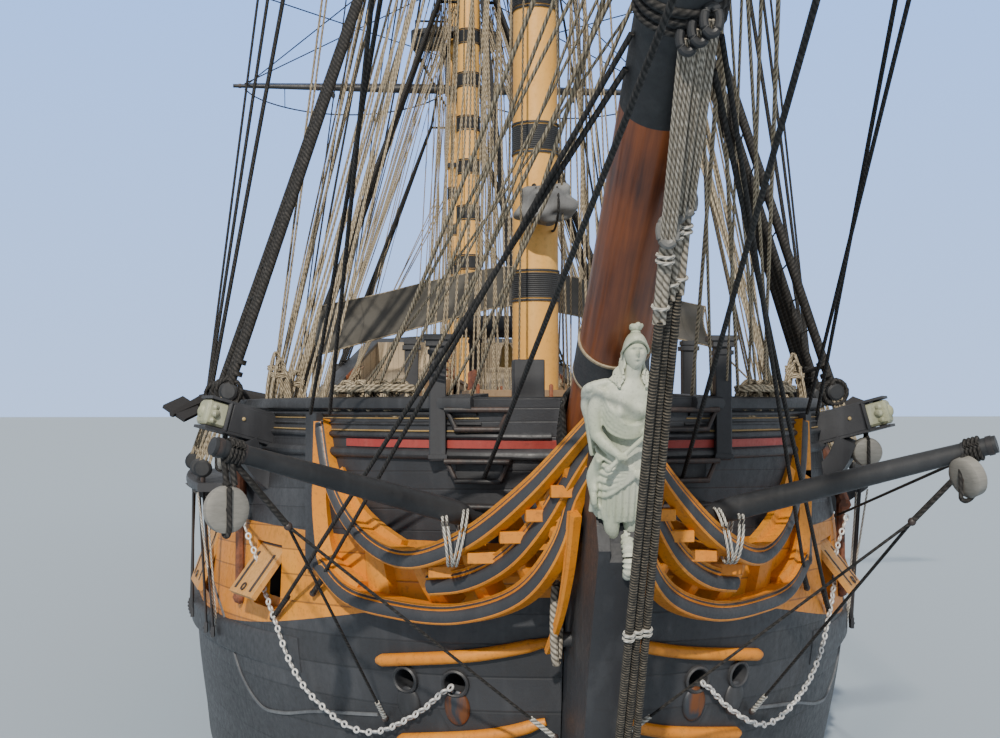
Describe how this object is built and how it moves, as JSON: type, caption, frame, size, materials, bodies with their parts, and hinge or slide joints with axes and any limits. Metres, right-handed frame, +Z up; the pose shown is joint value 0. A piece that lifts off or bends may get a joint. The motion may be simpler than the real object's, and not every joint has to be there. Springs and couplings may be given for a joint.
{
  "type": "half-scale model of a full-rigged wooden sailing ship",
  "caption": "Half-scale model of a wooden tall ship afloat: carved head, steep bowsprit, raked masts with braced yards, hinged gun-port lids, boats on skids, wheel and rudder.",
  "frame": {"origin": "on the centreline at the waterline, between the fore and mizzen masts", "axes": "-Y towards the bow, -X towards starboard, +Z up"},
  "size_m": [9.75, 27.3621, 21.8048],
  "materials": {
    "slate_paint": "satin oil paint on planking",
    "ochre_paint": "satin oil paint on carved timber",
    "buff_paint": "satin oil paint on spars",
    "black_paint": "satin black paint on spars",
    "varnished_timber": "gloss varnish over red-brown timber",
    "figure_paint": "matt pale paint on carving",
    "bare_timber": "scrubbed bare timber",
    "forged_iron": "dark rusty iron",
    "canvas": "weathered dark canvas",
    "tarred_rope": "tarred laid rope"
  },
  "bodies": {
    "ship": {"fore_lower_mast": "buff_paint", "fore_topmast": "buff_paint", "fore_topgallant_mast": "buff_paint", "main_lower_mast": "buff_paint", "main_topmast": "buff_paint", "main_topgallant_mast": "buff_paint", "mizzen_lower_mast": "buff_paint", "mizzen_topmast": "buff_paint", "mizzen_topgallant_mast": "buff_paint", "hull": "slate_paint", "keel_knee_and_sternpost": "slate_paint", "figurehead": "figure_paint", "starboard_head_rails": "ochre_paint", "port_head_rails": "ochre_paint", "starboard_channels": "black_paint", "port_channels": "black_paint", "starboard_cathead": "slate_paint", "port_cathead": "slate_paint", "starboard_anchor": "forged_iron", "port_anchor": "forged_iron", "starboard_boomkin": "black_paint", "port_boomkin": "black_paint", "starboard_quarter_gallery": "ochre_paint", "port_quarter_gallery": "ochre_paint", "stern_gallery": "ochre_paint", "bowsprit": "varnished_timber", "jib_boom": "black_paint", "fore_stay": "tarred_rope", "main_stay": "tarred_rope", "mizzen_stay": "tarred_rope", "wheel_stand": "varnished_timber", "belfry": "slate_paint", "skid_beams": "bare_timber", "longboat": "bare_timber", "awning": "canvas", "cutter": "ochre_paint"},
    "fore_yard": {"fore_yard": "black_paint"},
    "fore_topsail_yard": {"fore_topsail_yard": "black_paint"},
    "fore_topgallant_yard": {"fore_topgallant_yard": "black_paint"},
    "main_yard": {"main_yard": "black_paint"},
    "main_topsail_yard": {"main_topsail_yard": "black_paint"},
    "main_topgallant_yard": {"main_topgallant_yard": "black_paint"},
    "crossjack_yard": {"crossjack_yard": "black_paint"},
    "mizzen_topsail_yard": {"mizzen_topsail_yard": "black_paint"},
    "mizzen_topgallant_yard": {"mizzen_topgallant_yard": "black_paint"},
    "gaff": {"gaff": "buff_paint"},
    "boom": {"boom": "buff_paint"},
    "rudder": {"rudder": "slate_paint"},
    "capstan": {"capstan": "varnished_timber"},
    "steering_wheel": {"steering_wheel": "varnished_timber"},
    "starboard_port_lid_1": {"starboard_port_lid_1": "ochre_paint"},
    "port_port_lid_1": {"port_port_lid_1": "ochre_paint"},
    "starboard_port_lid_2": {"starboard_port_lid_2": "ochre_paint"},
    "port_port_lid_2": {"port_port_lid_2": "ochre_paint"},
    "starboard_port_lid_3": {"starboard_port_lid_3": "ochre_paint"},
    "port_port_lid_3": {"port_port_lid_3": "ochre_paint"},
    "starboard_port_lid_4": {"starboard_port_lid_4": "ochre_paint"},
    "port_port_lid_4": {"port_port_lid_4": "ochre_paint"},
    "starboard_port_lid_5": {"starboard_port_lid_5": "ochre_paint"},
    "port_port_lid_5": {"port_port_lid_5": "ochre_paint"}
  },
  "joints": [
    {"name": "fore_yard_brace", "type": "hinge", "parent": "ship", "child": "fore_yard", "pos_m": [0, -6.57146, 7.49959], "axis": [0, 0.0105, 0.9999], "range_deg": [-30, 30]},
    {"name": "fore_topsail_yard_brace", "type": "hinge", "parent": "ship", "child": "fore_topsail_yard", "pos_m": [0, -6.76263, 9.66211], "axis": [0, 0.0105, 0.9999], "range_deg": [-30, 30]},
    {"name": "fore_topgallant_yard_brace", "type": "hinge", "parent": "ship", "child": "fore_topgallant_yard", "pos_m": [0, -6.86793, 13.71343], "axis": [0, 0.0105, 0.9999], "range_deg": [-30, 30]},
    {"name": "main_yard_brace", "type": "hinge", "parent": "ship", "child": "main_yard", "pos_m": [0, 1.60262, 7.94853], "axis": [0, 0.0192, 0.9998], "range_deg": [-30, 30]},
    {"name": "main_topsail_yard_brace", "type": "hinge", "parent": "ship", "child": "main_topsail_yard", "pos_m": [0, 1.41815, 10.21789], "axis": [0, 0.0192, 0.9998], "range_deg": [-30, 30]},
    {"name": "main_topgallant_yard_brace", "type": "hinge", "parent": "ship", "child": "main_topgallant_yard", "pos_m": [0, 1.34641, 14.67009], "axis": [0, 0.0192, 0.9998], "range_deg": [-30, 30]},
    {"name": "crossjack_yard_brace", "type": "hinge", "parent": "ship", "child": "crossjack_yard", "pos_m": [0, 6.30651, 7.34552], "axis": [0, 0.0349, 0.9994], "range_deg": [-30, 30]},
    {"name": "mizzen_topsail_yard_brace", "type": "hinge", "parent": "ship", "child": "mizzen_topsail_yard", "pos_m": [0, 6.20848, 9.2405], "axis": [0, 0.0349, 0.9994], "range_deg": [-30, 30]},
    {"name": "mizzen_topgallant_yard_brace", "type": "hinge", "parent": "ship", "child": "mizzen_topgallant_yard", "pos_m": [0, 6.2166, 12.75486], "axis": [0, 0.0349, 0.9994], "range_deg": [-30, 30]},
    {"name": "gaff_swing", "type": "hinge", "parent": "ship", "child": "gaff", "pos_m": [0, 6.26463, 6.14625], "axis": [0, 0.0349, 0.9994], "range_deg": [-40, 40]},
    {"name": "boom_swing", "type": "hinge", "parent": "ship", "child": "boom", "pos_m": [0, 6.18262, 3.79768], "axis": [0, 0.0349, 0.9994], "range_deg": [-50, 50]},
    {"name": "rudder_turn", "type": "hinge", "parent": "ship", "child": "rudder", "pos_m": [0, 8.26, 0], "axis": [0, 0, 1], "range_deg": [-35, 35]},
    {"name": "capstan_turn", "type": "hinge", "parent": "ship", "child": "capstan", "pos_m": [0, 3.1, 2.01341], "axis": [0, 0, 1], "continuous": true},
    {"name": "wheel_turn", "type": "hinge", "parent": "ship", "child": "steering_wheel", "pos_m": [0, 5.2, 2.76426], "axis": [0, 1, 0], "range_deg": [-420, 420]},
    {"name": "starboard_port_lid_1_hinge", "type": "hinge", "parent": "ship", "child": "starboard_port_lid_1", "pos_m": [-1.48358, -7.48468, 1.54936], "axis": [-0.4728, 0.8812, 0], "range_deg": [-35, 60]},
    {"name": "port_port_lid_1_hinge", "type": "hinge", "parent": "ship", "child": "port_port_lid_1", "pos_m": [1.48358, -7.48468, 1.54936], "axis": [-0.4728, -0.8812, 0], "range_deg": [-35, 60]},
    {"name": "starboard_port_lid_2_hinge", "type": "hinge", "parent": "ship", "child": "starboard_port_lid_2", "pos_m": [-1.95458, -6.13689, 1.62531], "axis": [-0.2395, 0.9709, 0], "range_deg": [-12, 83]},
    {"name": "port_port_lid_2_hinge", "type": "hinge", "parent": "ship", "child": "port_port_lid_2", "pos_m": [1.95458, -6.13689, 1.62531], "axis": [-0.2395, -0.9709, 0], "range_deg": [-12, 83]},
    {"name": "starboard_port_lid_3_hinge", "type": "hinge", "parent": "ship", "child": "starboard_port_lid_3", "pos_m": [-2.17644, 3.34733, 1.71333], "axis": [0.0329, 0.9995, 0], "range_deg": [-12, 83]},
    {"name": "port_port_lid_3_hinge", "type": "hinge", "parent": "ship", "child": "port_port_lid_3", "pos_m": [2.17644, 3.34733, 1.71333], "axis": [0.0329, -0.9995, 0], "range_deg": [-12, 83]},
    {"name": "starboard_port_lid_4_hinge", "type": "hinge", "parent": "ship", "child": "starboard_port_lid_4", "pos_m": [-2.09443, 4.74454, 1.83671], "axis": [0.0873, 0.9962, 0], "range_deg": [-12, 83]},
    {"name": "port_port_lid_4_hinge", "type": "hinge", "parent": "ship", "child": "port_port_lid_4", "pos_m": [2.09443, 4.74454, 1.83671], "axis": [0.0873, -0.9962, 0], "range_deg": [-12, 83]},
    {"name": "starboard_port_lid_5_hinge", "type": "hinge", "parent": "ship", "child": "starboard_port_lid_5", "pos_m": [-1.95161, 6.14498, 2.00106], "axis": [0.1594, 0.9872, 0], "range_deg": [-12, 83]},
    {"name": "port_port_lid_5_hinge", "type": "hinge", "parent": "ship", "child": "port_port_lid_5", "pos_m": [1.95161, 6.14498, 2.00106], "axis": [0.1594, -0.9872, 0], "range_deg": [-12, 83]}
  ],
  "couplings": [
    {"joint": "wheel_turn", "follows": "rudder_turn", "ratio": 12}
  ]
}
